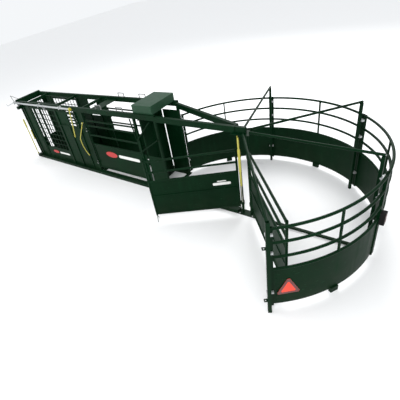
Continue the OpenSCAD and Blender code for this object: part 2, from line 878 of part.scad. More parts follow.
module gate_latch_lever() {
    color(YELLOW)
        translate([latch_x, latch_y_tub, latch_pivot_z])
            difference() {
                union() {
                    solid_box([-16, -12, latch_foot_z - latch_pivot_z], [16, 12, -850]);
                    solid_box([-26, -12, -850], [26, 12, -300]);
                    solid_box([-15, -12, -300], [15, 12, -34]);
                    solid_box([-9, -14, -40], [9, 14, 0]);
                    translate([-9, 0, 0])
                        rotate([0, 90, 0])
                            cylinder(r = 22, h = 18);
                }
                translate([-10, 0, 0])
                    rotate([0, 90, 0])
                        cylinder(r = pin_r + pin_gap, h = 20);
            }
}
// The pull rope hangs from the foot of the latch lever
ROPE_ROUTE = [
    [-59, -83, 825], [-59, -83, 795], [-60, -84, 765], [-61, -86, 735], [-62, -88, 705],
    [-62, -90, 675], [-62, -92, 645], [-61, -93, 615], [-60, -93, 585], [-58, -93, 555],
    [-57, -92, 525], [-56, -91, 495], [-55, -90, 465], [-55, -89, 435], [-55, -88, 405],
    [-56, -88, 375],
];
rope_r = 5;
rope_sides = 8;
module pull_rope() {
    rings = len(ROPE_ROUTE);
    points = [
        for (p = ROPE_ROUTE, k = [0:rope_sides - 1])
            p + rope_r * [cos(k * 360 / rope_sides), sin(k * 360 / rope_sides), 0]
    ];
    walls = [
        for (i = [0:rings - 2], k = [0:rope_sides - 1])
            let (a = i * rope_sides + k, b = i * rope_sides + (k + 1) % rope_sides)
                [a, b, b + rope_sides, a + rope_sides]
    ];
    top = [for (k = [rope_sides - 1:-1:0]) k];
    foot = [for (k = [0:rope_sides - 1]) (rings - 1) * rope_sides + k];
    color([0.8, 0.78, 0.7])
        polyhedron(points = points, faces = concat([top], walls, [foot]), convexity = 4);
}

// ---- The tub's fence ----
module tall_posts() {
    color(GREEN)
        for (a = [JOINT_ANGLES[1], JOINT_ANGLES[2], JOINT_ANGLES[3]])
            rotate([0, 0, a])
                box_tube([tall_post_r - tall_post_w / 2, -tall_post_w / 2, 0],
                         [tall_post_r + tall_post_w / 2, tall_post_w / 2, frame_bottom], 2);
}
LUG_Z = [300, 1500];
lug_hole_r = 13;
module end_post() {
    half = 30;
    color(GREEN)
        rotate([0, 0, end_post_angle])
            translate([end_post_r, 0, 0])
                difference() {
                    union() {
                        box_tube([-half, -half, 0], [half, half, end_post_h], 2);
                        for (z = LUG_Z)
                            solid_box([-half, -half - 60, z], [half, -half, z + lug_t]);
                    }
                    for (z = LUG_Z)
                        translate([0, -half - 32, z - 1]) cylinder(r = lug_hole_r, h = lug_t + 2);
                }
}
module overhead_braces() {
    color(GREEN) {
        for (a = [JOINT_ANGLES[1], JOINT_ANGLES[2], JOINT_ANGLES[3]])
            rotate([0, 0, a])
                translate([a > 90 ? 165 : 170, 0, brace_z])
                    rotate([0, 90, 0])
                        cylinder(d = rail_d, h = tall_post_r + 20 - 170);
        rod([150 * cos(end_post_angle), 150 * sin(end_post_angle), brace_z],
            [(end_post_r - 40) * cos(end_post_angle), (end_post_r - 40) * sin(end_post_angle),
             end_post_h - 40], rail_d / 2);
    }
}
// Saddles that clamp the panel ends to the posts inside the fence
CLAMP_Z = [420, 1330, 1700];
module fence_upright_block(a) {
    half = rail_d / 2;
    rotate([0, 0, a])
        solid_box([tub_r - half, -half, -1], [tub_r + half, half, tub_h + 60]);
}
module panel_clamps() {
    clamp_w = 108;
    color(STEEL) {
        for (a = [JOINT_ANGLES[1], JOINT_ANGLES[2], JOINT_ANGLES[3]])
            difference() {
                for (z = CLAMP_Z)
                    rotate([0, 0, a])
                        solid_box([tall_post_r + tall_post_w / 2, -clamp_w / 2, z],
                                  [tub_r, clamp_w / 2, z + 40]);
                for (side = [-1, 1])
                    fence_upright_block(a + side * panel_gap_angle);
            }
        difference() {
            for (z = CLAMP_Z)
                rotate([0, 0, end_post_angle])
                    solid_box([tub_r, -30, z], [end_post_r - 30, 80, z + 40]);
            fence_upright_block(JOINT_ANGLES[4] + panel_gap_angle);
        }
        difference() {
            for (z = CLAMP_Z)
                solid_box([x_tail - half_post, chute_w + half_post, z],
                          [x_tail + 20, chute_w + half_post + 90, z + 40]);
            fence_upright_block(JOINT_ANGLES[0] - panel_gap_angle);
        }
    }
}
module curved_rail(span, z) {
    // The rail's ends stop inside the walls of the end uprights
    end = asin((rail_d / 2 - tube_wall * 0.6) / tub_r);
    translate([0, 0, z])
        rotate_extrude(start = end, angle = span - 2 * end, $fn = 96)
            translate([tub_r, 0])
                difference() {
                    circle(d = rail_d, $fn = 48);
                    circle(d = rail_d - 2 * tube_bore, $fn = 48);
                }
}
module fence_panel(index) {
    span = JOINT_ANGLES[index] - JOINT_ANGLES[index + 1] - 2 * panel_gap_angle;
    half = rail_d / 2;
    bar = 15;
    end = asin((half - 2) / tub_r);
    color(GREEN)
        rotate([0, 0, JOINT_ANGLES[index + 1] + panel_gap_angle]) {
            for (z = [tub_h, tub_rail_2, tub_rail_3, tub_sheet_top])
                curved_rail(span, z);
            for (a = [0, span])
                rotate([0, 0, a])
                    box_tube([tub_r - half, -half, tub_sheet_bottom - 20],
                             [tub_r + half, half, tub_h + half], 2);
            rotate([0, 0, span / 2])
                solid_box([tub_r - bar, -bar, tub_sheet_top + half - 2],
                          [tub_r + bar, bar, tub_h - half + 2]);
            translate([0, 0, tub_sheet_bottom])
                rotate_extrude(start = end, angle = span - 2 * end, $fn = 96)
                    translate([tub_r - sheet_t / 2, 0])
                        square([sheet_t, tub_sheet_top - half + 2 - tub_sheet_bottom]);
            rotate([0, 0, span / 2])
                solid_box([tub_r - 30, -75, 0], [tub_r + 30, 75, tub_sheet_bottom + 20]);
        }
}
module fence_panel_1() {
    fence_panel(0);
}
module fence_panel_2() {
    fence_panel(1);
}
module fence_panel_3() {
    fence_panel(2);
}
module fence_panel_4() {
    fence_panel(3);
}
module marker_triangle() {
    side = 406;
    height = 356;
    cut = 40;
    color(ORANGE)
        rotate([0, 0, -48.5])
            translate([tub_r + sheet_t / 2 + 9, 0, 330])
                rotate([90, 0, 90])
                    linear_extrude(height = 3)
                        polygon([[-side / 2 + cut, 0], [side / 2 - cut, 0], [side / 2 - cut / 2, cut],
                                 [cut / 2, height], [-cut / 2, height], [-side / 2 + cut / 2, cut]]);
}
module lamp_box() {
    color(DARK)
        rotate([0, 0, JOINT_ANGLES[3]])
            solid_box([tub_r + rail_d / 2 + 1, -60, 820], [tub_r + rail_d / 2 + 80, 60, 1060]);
}

skids();
floor_pan();
posts_near();
posts_far();
beams();
head_crossbeam();
overhead_ties();
fixed_sheets();
head_gate_tracks();
head_door_near();
head_door_far();
shaft_bearings();
operating_shaft();
shaft_lever();
head_lever();
head_lever_grip();
head_latch_handle();
squeeze_frame_near();
squeeze_bars_near();
squeeze_sheet_near();
squeeze_frame_far();
squeeze_bars_far();
squeeze_sheet_far();
squeeze_lever();
access_door_rails();
access_door();
chute_hinge_lugs();
alley_door_near();
alley_door_far();
lift_handle_1();
lift_handle_2();
lift_handle_3();
lift_handle_4();
hood();
tail_walls();
tail_braces();
tail_track();
tail_door_near();
tail_door_far();
overhead_frame();
apex_plate();
hinge_posts();
centre_foot();
spreader_bar();
entry_gate();
entry_gate_sheet();
sweep_gate();
sweep_gate_sheet();
gate_latch_lever();
pull_rope();
tall_posts();
end_post();
overhead_braces();
panel_clamps();
fence_panel_1();
fence_panel_2();
fence_panel_3();
fence_panel_4();
marker_triangle();
lamp_box();
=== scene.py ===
import math

import bmesh
import bpy
from mathutils import Matrix, Vector


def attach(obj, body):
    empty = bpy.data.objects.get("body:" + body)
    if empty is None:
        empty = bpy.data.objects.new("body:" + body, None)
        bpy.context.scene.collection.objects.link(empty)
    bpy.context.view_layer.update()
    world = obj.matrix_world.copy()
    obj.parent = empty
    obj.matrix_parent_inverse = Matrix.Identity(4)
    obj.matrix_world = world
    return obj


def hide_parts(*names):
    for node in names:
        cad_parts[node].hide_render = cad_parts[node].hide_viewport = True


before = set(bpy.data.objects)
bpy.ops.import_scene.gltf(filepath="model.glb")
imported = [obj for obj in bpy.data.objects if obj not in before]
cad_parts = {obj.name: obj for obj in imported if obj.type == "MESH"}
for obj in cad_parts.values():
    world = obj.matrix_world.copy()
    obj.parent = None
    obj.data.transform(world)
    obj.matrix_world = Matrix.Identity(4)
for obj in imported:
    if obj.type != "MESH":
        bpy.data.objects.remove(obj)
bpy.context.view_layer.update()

# ---- View ----
# The operator stands off the open side of the tub and looks down over the gates
# towards the head of the chute, with the camera rolled to fit the long diagonal.
LENS_MM, SENSOR_MM = 29.16, 36
SHIFT_ACROSS, SHIFT_UP = 0.0905, -0.0168
FARTHEST_SEEN = 200
VIEW_PLACE = Vector((2.985, -5.359, 5.058))
VIEW_TURN, VIEW_DIP, VIEW_ROLL = (math.radians(a) for a in (-46.37, 33.87, -13.98))
ahead = Vector((math.sin(VIEW_TURN) * math.cos(VIEW_DIP), math.cos(VIEW_TURN) * math.cos(VIEW_DIP),
                -math.sin(VIEW_DIP)))
level_right = ahead.cross(Vector((0, 0, 1))).normalized()
level_up = level_right.cross(ahead)
right = level_right * math.cos(VIEW_ROLL) + level_up * math.sin(VIEW_ROLL)
up = level_up * math.cos(VIEW_ROLL) - level_right * math.sin(VIEW_ROLL)
camera = bpy.data.objects.new("camera", bpy.data.cameras.new("camera"))
camera.data.lens = LENS_MM
camera.data.sensor_width = SENSOR_MM
camera.data.shift_x = SHIFT_ACROSS
camera.data.shift_y = SHIFT_UP
camera.data.clip_end = FARTHEST_SEEN
turn = Matrix((right, up, -ahead)).transposed()
camera.matrix_world = Matrix.Translation(VIEW_PLACE) @ turn.to_4x4()
bpy.context.scene.collection.objects.link(camera)
bpy.context.scene.camera = camera

# ---- Pull rope ----
# A braided rope of 10 mm is tied to the foot of the latch lever and hangs free between the
# gates, so that the operator can pull the latch from the ground.
ROPE_DIAMETER = 0.010
ROPE_ROUTE = [
    (-0.059, -0.083, 0.825), (-0.059, -0.083, 0.795), (-0.060, -0.084, 0.765),
    (-0.061, -0.086, 0.735), (-0.062, -0.088, 0.705), (-0.062, -0.090, 0.675),
    (-0.062, -0.092, 0.645), (-0.061, -0.093, 0.615), (-0.060, -0.093, 0.585),
    (-0.058, -0.093, 0.555), (-0.057, -0.092, 0.525), (-0.056, -0.091, 0.495),
    (-0.055, -0.090, 0.465), (-0.055, -0.089, 0.435), (-0.055, -0.088, 0.405),
    (-0.056, -0.088, 0.375),
]
rope_line = bpy.data.curves.new("pull_rope_line", "CURVE")
rope_line.dimensions = "3D"
rope_line.bevel_depth = ROPE_DIAMETER / 2
rope_line.bevel_resolution = 3
rope_line.use_fill_caps = True
spline = rope_line.splines.new("POLY")
spline.points.add(len(ROPE_ROUTE) - 1)
for point, place in zip(spline.points, ROPE_ROUTE):
    point.co = (*place, 1)
rope_curve = bpy.data.objects.new("rope_curve", rope_line)
bpy.context.scene.collection.objects.link(rope_curve)
rope_shown = rope_curve.evaluated_get(bpy.context.evaluated_depsgraph_get())
rope = bpy.data.objects.new("rope", bpy.data.meshes.new_from_object(rope_shown))
bpy.data.objects.remove(rope_curve)
bpy.context.scene.collection.objects.link(rope)
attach(rope, "gate_latch")
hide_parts("pull_rope")


def socket(tree, name, kind, way="INPUT", value=None):
    made = tree.interface.new_socket(name=name, in_out=way, socket_type=kind)
    if value is not None:
        made.default_value = value


def node(tree, kind, **values):
    made = tree.nodes.new(kind)
    for key, value in values.items():
        setattr(made, key, value)
    return made


def wire(tree, source, target):
    tree.links.new(source, target)


def noise(tree, place, scale, detail=4.0, stretch=(1, 1, 1)):
    """A noise texture read at a place that is stretched along the axes."""
    mapping = node(tree, "ShaderNodeMapping")
    mapping.inputs["Scale"].default_value = stretch
    wire(tree, place, mapping.inputs["Vector"])
    texture = node(tree, "ShaderNodeTexNoise")
    texture.inputs["Scale"].default_value = scale
    texture.inputs["Detail"].default_value = detail
    wire(tree, mapping.outputs["Vector"], texture.inputs["Vector"])
    return texture.outputs["Fac"]


def ramp(tree, value, low, high):
    """0 below low and 1 above high, with a straight change between them."""
    made = node(tree, "ShaderNodeMapRange", clamp=True)
    made.inputs["From Min"].default_value = low
    made.inputs["From Max"].default_value = high
    wire(tree, value, made.inputs["Value"])
    return made.outputs["Result"]


def blend_colour(tree, amount, a, b):
    made = node(tree, "ShaderNodeMix", data_type="RGBA")
    for plug, value in ((made.inputs["Factor"], amount), (made.inputs[6], a), (made.inputs[7], b)):
        if isinstance(value, (int, float, tuple)):
            plug.default_value = value
        else:
            wire(tree, value, plug)
    return made.outputs[2]


def sum_up(tree, a, b, operation="ADD"):
    made = node(tree, "ShaderNodeMath", operation=operation)
    for plug, value in zip(made.inputs, (a, b)):
        if isinstance(value, (int, float)):
            plug.default_value = value
        else:
            wire(tree, value, plug)
    return made.outputs["Value"]


outdoor_wear = bpy.data.node_groups.new("outdoor_wear", "ShaderNodeTree")
socket(outdoor_wear, "Paint", "NodeSocketColor", value=(0.1, 0.2, 0.1, 1))
socket(outdoor_wear, "Chalked", "NodeSocketColor", value=(0.2, 0.3, 0.2, 1))
socket(outdoor_wear, "Dust", "NodeSocketColor", value=(0.3, 0.27, 0.2, 1))
socket(outdoor_wear, "Dust Height", "NodeSocketFloat", value=0.6)
socket(outdoor_wear, "Dust Amount", "NodeSocketFloat", value=0.5)
socket(outdoor_wear, "Roughness", "NodeSocketFloat", value=0.4)
for name, kind in (("Colour", "NodeSocketColor"), ("Roughness", "NodeSocketFloat"),
                   ("Height", "NodeSocketFloat"), ("Scuffs", "NodeSocketFloat")):
    socket(outdoor_wear, name, kind, "OUTPUT")
wear_in = node(outdoor_wear, "NodeGroupInput")
wear_out = node(outdoor_wear, "NodeGroupOutput")
place = node(outdoor_wear, "ShaderNodeTexCoord").outputs["Object"]
broad = ramp(outdoor_wear, noise(outdoor_wear, place, 0.9, 5), 0.38, 0.68)
streaks = ramp(outdoor_wear, noise(outdoor_wear, place, 9, 3, (1, 1, 0.12)), 0.5, 0.75)
scuffs = ramp(outdoor_wear, noise(outdoor_wear, place, 26, 8, (0.5, 0.5, 1.6)), 0.66, 0.74)
peel = noise(outdoor_wear, place, 420, 2)
height_of = node(outdoor_wear, "ShaderNodeSeparateXYZ")
wire(outdoor_wear, place, height_of.inputs["Vector"])
low_down = node(outdoor_wear, "ShaderNodeMapRange", clamp=True)
low_down.inputs["From Min"].default_value = 0
low_down.inputs["To Min"].default_value = 1
low_down.inputs["To Max"].default_value = 0
wire(outdoor_wear, height_of.outputs["Z"], low_down.inputs["Value"])
wire(outdoor_wear, wear_in.outputs["Dust Height"], low_down.inputs["From Max"])
dusty = sum_up(outdoor_wear, low_down.outputs["Result"],
               ramp(outdoor_wear, noise(outdoor_wear, place, 5, 6), 0.3, 0.65), "MULTIPLY")
dusty = sum_up(outdoor_wear, dusty, wear_in.outputs["Dust Amount"], "MULTIPLY")
chalk = sum_up(outdoor_wear, sum_up(outdoor_wear, broad, 0.45, "MULTIPLY"),
               sum_up(outdoor_wear, streaks, 0.3, "MULTIPLY"))
colour = blend_colour(outdoor_wear, chalk, wear_in.outputs["Paint"], wear_in.outputs["Chalked"])
colour = blend_colour(outdoor_wear, dusty, colour, wear_in.outputs["Dust"])
wire(outdoor_wear, colour, wear_out.inputs["Colour"])
wire(outdoor_wear, scuffs, wear_out.inputs["Scuffs"])
rough = sum_up(outdoor_wear, wear_in.outputs["Roughness"],
               sum_up(outdoor_wear, sum_up(outdoor_wear, chalk, dusty), 0.3, "MULTIPLY"))
wire(outdoor_wear, rough, wear_out.inputs["Roughness"])
dents = noise(outdoor_wear, place, 3.2, 2)
wire(outdoor_wear, sum_up(outdoor_wear, sum_up(outdoor_wear, peel, 0.04, "MULTIPLY"), dents),
     wear_out.inputs["Height"])
DUST_COLOUR = (0.30, 0.27, 0.20, 1)
RELIEF_DEPTH = 0.004


def worn_finish(name, paint, chalked, bare, roughness, dust_amount, metallic=0.0, coat=0.0,
                dust_height=0.7, bump=0.25, specular=0.5):
    """Enamel or bare metal that weathers outdoors, with scuffs down to a bare colour."""
    material = bpy.data.materials.new(name)
    material.use_nodes = True
    tree = material.node_tree
    shader = tree.nodes["Principled BSDF"]
    wear = node(tree, "ShaderNodeGroup", node_tree=outdoor_wear)
    wear.inputs["Paint"].default_value = (*paint, 1)
    wear.inputs["Chalked"].default_value = (*chalked, 1)
    wear.inputs["Dust"].default_value = DUST_COLOUR
    wear.inputs["Dust Height"].default_value = dust_height
    wear.inputs["Dust Amount"].default_value = dust_amount
    wear.inputs["Roughness"].default_value = roughness
    scuffed = blend_colour(tree, wear.outputs["Scuffs"], wear.outputs["Colour"], (*bare, 1))
    wire(tree, scuffed, shader.inputs["Base Color"])
    wire(tree, wear.outputs["Roughness"], shader.inputs["Roughness"])
    shader.inputs["Metallic"].default_value = metallic
    shader.inputs["Specular IOR Level"].default_value = specular
    shader.inputs["Coat Weight"].default_value = coat
    shader.inputs["Coat Roughness"].default_value = 0.2
    relief = node(tree, "ShaderNodeBump")
    relief.inputs["Strength"].default_value = bump
    relief.inputs["Distance"].default_value = RELIEF_DEPTH
    wire(tree, wear.outputs["Height"], relief.inputs["Height"])
    wire(tree, relief.outputs["Normal"], shader.inputs["Normal"])
    return material


rope_finish = worn_finish("rope_finish", (0.62, 0.60, 0.52), (0.45, 0.43, 0.36),
                          (0.35, 0.32, 0.26), 0.8, 0.2, specular=0.2)
rope.data.materials.clear()
rope.data.materials.append(rope_finish)

# ---- Floor and light ----
# A plain pale studio floor, an even pale surround and three large soft lamps: a key
# from the open side, a weaker fill from the head end and a back lamp from the far side.
world = bpy.data.worlds.new("studio")
world.use_nodes = True
world.node_tree.nodes["Background"].inputs["Color"].default_value = (0.93, 0.95, 0.97, 1)
world.node_tree.nodes["Background"].inputs["Strength"].default_value = 0.98
bpy.context.scene.world = world
bpy.context.scene.view_settings.view_transform = "Standard"
FLOOR_HALF, FLOOR_Z = 60, -0.002
floor_mesh = bpy.data.meshes.new("floor")
floor_mesh.from_pydata([(x * FLOOR_HALF, y * FLOOR_HALF, FLOOR_Z) for x, y in
                        ((-1, -1), (1, -1), (1, 1), (-1, 1))], [], [(0, 1, 2, 3)])
floor = bpy.data.objects.new("floor", floor_mesh)
floor_paint = bpy.data.materials.new("floor_paint")
floor_paint.use_nodes = True
floor_shader = floor_paint.node_tree.nodes["Principled BSDF"]
floor_shader.inputs["Base Color"].default_value = (0.92, 0.92, 0.92, 1)
floor_shader.inputs["Roughness"].default_value = 0.9
floor_mesh.materials.append(floor_paint)
bpy.context.scene.collection.objects.link(floor)


def soft_lamp(name, place, aim, size, power):
    lamp = bpy.data.lights.new(name, "AREA")
    lamp.shape = "DISK"
    lamp.size = size
    lamp.energy = power
    holder = bpy.data.objects.new(name, lamp)
    holder.location = place
    holder.rotation_euler = (Vector(aim) - Vector(place)).to_track_quat("-Z", "Y").to_euler()
    bpy.context.scene.collection.objects.link(holder)


soft_lamp("key_lamp", (4, -12, 12), (-4, 0, 1), 7, 1350)
soft_lamp("fill_lamp", (-12, -9, 7), (-5, 0, 1), 7, 450)
soft_lamp("back_lamp", (-3, 11, 10), (-3, 0, 1), 7, 1100)

# ---- Green enamel ----
# The tubes and sheets are welded mild steel, sprayed in dark green gloss enamel. It chalks
# and streaks outdoors, picks up pale dust near the ground, and is rubbed along the tubes.
green_enamel = worn_finish("green_enamel", (0.0008, 0.0120, 0.0034), (0.0026, 0.026, 0.0090),
                           (0.007, 0.042, 0.017), 0.38, 0.02, coat=0.02, specular=0.05)


def finish_nodes(material, *names):
    for name in names:
        for place_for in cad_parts[name].material_slots:
            place_for.material = material


OTHER_FINISH = {
    "hood", "shaft_bearings", "operating_shaft", "chute_hinge_lugs", "panel_clamps", "shaft_lever",
    "head_lever", "head_lever_grip", "head_latch_handle", "squeeze_lever", "gate_latch_lever",
    "lift_handle_1", "lift_handle_2", "lift_handle_3", "lift_handle_4", "marker_triangle",
    "lamp_box",
}
finish_nodes(green_enamel, *(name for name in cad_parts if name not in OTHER_FINISH))

# ---- Rail welds ----
# The rails are welded to the uprights all round, on the alley gates, the tub gates and the
# fence. Each bead stands proud of the tube and is painted over.


def repeat_group(name, sizes, shape):
    """Geometry Nodes that stand one shape on every point, turned to the point's aim."""
    tree = bpy.data.node_groups.new(name, "GeometryNodeTree")
    socket(tree, "Geometry", "NodeSocketGeometry")
    for label, value in sizes.items():
        socket(tree, label, "NodeSocketFloat", value=value)
    socket(tree, "Finish", "NodeSocketMaterial")
    socket(tree, "Geometry", "NodeSocketGeometry", "OUTPUT")
    given = node(tree, "NodeGroupInput").outputs
    stand = node(tree, "GeometryNodeInstanceOnPoints")
    points = node(tree, "GeometryNodeMeshToPoints")
    wire(tree, given["Geometry"], points.inputs["Mesh"])
    wire(tree, points.outputs["Points"], stand.inputs["Points"])
    wire(tree, shape(tree, given), stand.inputs["Instance"])
    aim = node(tree, "GeometryNodeInputNamedAttribute", data_type="FLOAT_VECTOR")
    aim.inputs["Name"].default_value = "aim"
    turned = node(tree, "FunctionNodeAlignRotationToVector", axis="Z")
    wire(tree, aim.outputs["Attribute"], turned.inputs["Vector"])
    wire(tree, turned.outputs["Rotation"], stand.inputs["Rotation"])
    real = node(tree, "GeometryNodeRealizeInstances")
    wire(tree, stand.outputs["Instances"], real.inputs["Geometry"])
    painted = node(tree, "GeometryNodeSetMaterial")
    wire(tree, real.outputs["Geometry"], painted.inputs["Geometry"])
    wire(tree, given["Finish"], painted.inputs["Material"])
    wire(tree, painted.outputs["Geometry"], node(tree, "NodeGroupOutput").inputs["Geometry"])
    return tree


def ring_shape(tree, given):
    path = node(tree, "GeometryNodeCurvePrimitiveCircle")
    path.inputs["Resolution"].default_value = 28
    wire(tree, given["Ring Radius"], path.inputs["Radius"])
    bead = node(tree, "GeometryNodeCurvePrimitiveCircle")
    bead.inputs["Resolution"].default_value = 8
    wire(tree, given["Bead Radius"], bead.inputs["Radius"])
    swept = node(tree, "GeometryNodeCurveToMesh")
    wire(tree, path.outputs["Curve"], swept.inputs["Curve"])
    wire(tree, bead.outputs["Curve"], swept.inputs["Profile Curve"])
    return swept.outputs["Mesh"]


rings = repeat_group("rings", {"Ring Radius": 0.0245, "Bead Radius": 0.004}, ring_shape)


def new_piece(name, mesh, body, finish=None):
    """One finished piece in the shared frame that moves with a body."""
    piece = bpy.data.objects.new(name, mesh)
    if finish is not None:
        mesh.materials.append(finish)
    bpy.context.scene.collection.objects.link(piece)
    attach(piece, body)
    return piece


def repeated(name, tree, body, finish, slot_name, spots, **sizes):
    """Many copies on (place, aim) spots as one plain mesh on one body."""
    seed_mesh = bpy.data.meshes.new(name + "_spots")
    seed_mesh.from_pydata([place for place, _ in spots], [], [])
    aims = seed_mesh.attributes.new("aim", "FLOAT_VECTOR", "POINT")
    for entry, (place, aim) in zip(aims.data, spots):
        entry.vector = aim
    seed = bpy.data.objects.new(name + "_seed", seed_mesh)
    bpy.context.scene.collection.objects.link(seed)
    modifier = seed.modifiers.new("repeat", "NODES")
    modifier.node_group = tree
    wanted = {key.replace("_", " ").title(): value for key, value in sizes.items()}
    wanted["Finish"] = finish
    for item in tree.interface.items_tree:
        if item.in_out == "INPUT" and item.name in wanted:
            modifier[item.identifier] = wanted[item.name]
    shown = seed.evaluated_get(bpy.context.evaluated_depsgraph_get())
    mesh = bpy.data.meshes.new_from_object(shown)
    mesh.name = name
    seed.modifiers.remove(modifier)
    bpy.data.objects.remove(seed)
    mesh.materials.clear()
    return new_piece(name, mesh, body, finish)


def around(angle, radius, z, outward=0.0):
    """A place on the tub's circle, and the unit vectors outward and along the circle."""
    out = Vector((math.cos(angle), math.sin(angle), 0))
    return out * (radius + outward) + Vector((0, 0, z)), out, Vector((-out.y, out.x, 0))


ALLEY_RAILS = (0.247, 1.069, 1.382, 1.692, 1.858)
ALLEY_UPRIGHTS = (-5.164, -3.146)
CHUTE_WIDTH = 0.94
for side, y in (("near", 0.0), ("far", CHUTE_WIDTH)):
    spots = [((x, y, z), (1, 0, 0)) for x in ALLEY_UPRIGHTS for z in ALLEY_RAILS]
    repeated(f"alley_welds_{side}", rings, f"alley_door_{side}", green_enamel, "green", spots)
GATE_RAILS = (0.209, 1.16, 1.398, 1.69)
HINGE_WELD, FREE_WELD = 0.094, 0.026
GATES = {"entry_gate": (Vector((-0.105, 0, 0)), math.radians(213), 2.086),
         "sweep_gate": (Vector((0.105, 0, 0)), math.radians(-49.5), 2.306)}
for body, (pivot, heading, reach) in GATES.items():
    ahead_of = Vector((math.cos(heading), math.sin(heading), 0))
    spots = [(pivot + ahead_of * s + Vector((0, 0, z)), ahead_of)
             for s in (HINGE_WELD, reach - FREE_WELD) for z in GATE_RAILS]
    repeated(f"{body}_welds", rings, body, green_enamel, "green", spots)
TUB_RADIUS = 2.575
FENCE_RAILS = (0.952, 1.216, 1.518, 1.8)
PANEL_JOINTS = [math.radians(a) for a in (156, 101, 46, -4.5, -55)]
PANEL_GAP = math.radians(0.7)
RAIL_END = 0.026 / TUB_RADIUS
spots = []
for start, end in zip(PANEL_JOINTS[1:], PANEL_JOINTS):
    for angle in (start + PANEL_GAP + RAIL_END, end - PANEL_GAP - RAIL_END):
        for z in FENCE_RAILS:
            place, _, along = around(angle, TUB_RADIUS, z)
            spots.append((place, along))
repeated("fence_welds", rings, "frame", green_enamel, "green", spots)

# ---- Sheet rivets ----
# Dome rivets hold the sheets of the fence, of the chute, of its squeeze sides and of the tub
# gates. They are set in rows along the sheets' edges and painted over.


def disc(tree, given, across, thick, sides, lift=None, top=1.0):
    """A round or hex disc that stands on its point, with a top that can be narrower."""
    made = node(tree, "GeometryNodeMeshCone", fill_type="NGON")
    made.inputs["Vertices"].default_value = sides
    wire(tree, given[across], made.inputs["Radius Bottom"])
    wire(tree, sum_up(tree, given[across], top, "MULTIPLY"), made.inputs["Radius Top"])
    wire(tree, given[thick], made.inputs["Depth"])
    if lift is None:
        return made.outputs["Mesh"]
    raised = node(tree, "GeometryNodeTransform")
    height = node(tree, "ShaderNodeCombineXYZ")
    wire(tree, given[lift], height.inputs["Z"])
    wire(tree, made.outputs["Mesh"], raised.inputs["Geometry"])
    wire(tree, height.outputs["Vector"], raised.inputs["Translation"])
    return raised.outputs["Geometry"]


def rivet_shape(tree, given):
    return disc(tree, given, "Head Radius", "Head Thickness", 12, None, 0.55)


rivets = repeat_group("rivets", {"Head Radius": 0.009, "Head Thickness": 0.007}, rivet_shape)
RIVET_TURN, LOWEST_RIVET, SHEET_FACE = 0.028, 0.16, 0.002
spots = []
for start, end in zip(PANEL_JOINTS[1:], PANEL_JOINTS):
    for angle in (start + PANEL_GAP + RIVET_TURN, end - PANEL_GAP - RIVET_TURN):
        for step in range(6):
            for face in (-1, 1):
                place, out, _ = around(angle, TUB_RADIUS, LOWEST_RIVET + 0.14 * step,
                                       SHEET_FACE * face)
                spots.append((place, out * face))
SHEET_SPANS = ((-8.67, -8.34, 2.1), (-6.64, -6.19, 2.1), (-6.13, -5.64, 1.54),
               (-5.58, -5.30, 2.1))
SHEET_SIDES = {"near": (-0.002, -1), "far": (0.942, 1)}
EDGE_IN, RIVET_PITCH = 0.03, 0.2
for low_x, high_x, top in SHEET_SPANS:
    for x in (low_x + EDGE_IN, high_x - EDGE_IN):
        for n in range(int((top - RIVET_PITCH) / RIVET_PITCH) + 1):
            for y, out in SHEET_SIDES.values():
                spots.append(((x, y, LOWEST_RIVET + RIVET_PITCH * n), (0, out, 0)))
repeated("sheet_rivets", rivets, "frame", green_enamel, "green", spots)
SQUEEZE_EDGES = (-8.17, -6.79)
for name, (y, out) in SHEET_SIDES.items():
    spots = [((x, y, z), (0, out, 0)) for x in SQUEEZE_EDGES
             for z in (0.2, 0.32, 0.44, 0.52)]
    spots += [((SQUEEZE_EDGES[0] + 0.23 * n, y, 0.19), (0, out, 0)) for n in range(1, 6)]
    repeated(f"squeeze_rivets_{name}", rivets, f"squeeze_{name}", green_enamel, "green", spots)
GATE_RIVET_ROWS = (0.27, 1.10)
for body, (pivot, heading, _) in GATES.items():
    ahead_of = Vector((math.cos(heading), math.sin(heading), 0))
    across = Vector((-ahead_of.y, ahead_of.x, 0))
    spots = [(pivot + ahead_of * (0.16 + 0.3 * n) + across * SHEET_FACE * face
              + Vector((0, 0, z)), across * face)
             for n in range(7) for z in GATE_RIVET_ROWS for face in (-1, 1)]
    repeated(f"{body}_rivets", rivets, body, green_enamel, "green", spots)

# ---- Hood ----
# The hood is folded sheet in the same enamel, which the sun has faded to a paler green.
# Rivets along its hem fix it to the frame under it.
faded_enamel = worn_finish("faded_enamel", (0.003, 0.034, 0.012), (0.007, 0.052, 0.022),
                           (0.03, 0.10, 0.055), 0.45, 0.0, specular=0.3)
finish_nodes(faded_enamel, "hood")
spots = []
for x in (-2.99, -2.80, -2.62, -2.43):
    spots += [((x, 0.010, 2.285), (0, -1, 0)), ((x, 0.930, 2.285), (0, 1, 0))]
for y in (0.12, 0.47, 0.82):
    spots += [((-3.034, y, 2.285), (-1, 0, 0)), ((-2.384, y, 2.285), (1, 0, 0))]
repeated("hood_rivets", rivets, "frame", faded_enamel, "light_green", spots)

# ---- Galvanised fittings ----
# The shaft, its bearings, the lugs and the clamps are hot-dip galvanised steel, dull
# and mottled. Hex bolts on washers hold the bearings, the middle foot plate and the clamps.


def bolt_shape(tree, given):
    both = node(tree, "GeometryNodeJoinGeometry")
    wire(tree, disc(tree, given, "Washer Radius", "Washer Thickness", 24, None, 0.96),
         both.inputs["Geometry"])
    wire(tree, disc(tree, given, "Head Radius", "Head Thickness", 6, "Washer Thickness", 0.94),
         both.inputs["Geometry"])
    return both.outputs["Geometry"]


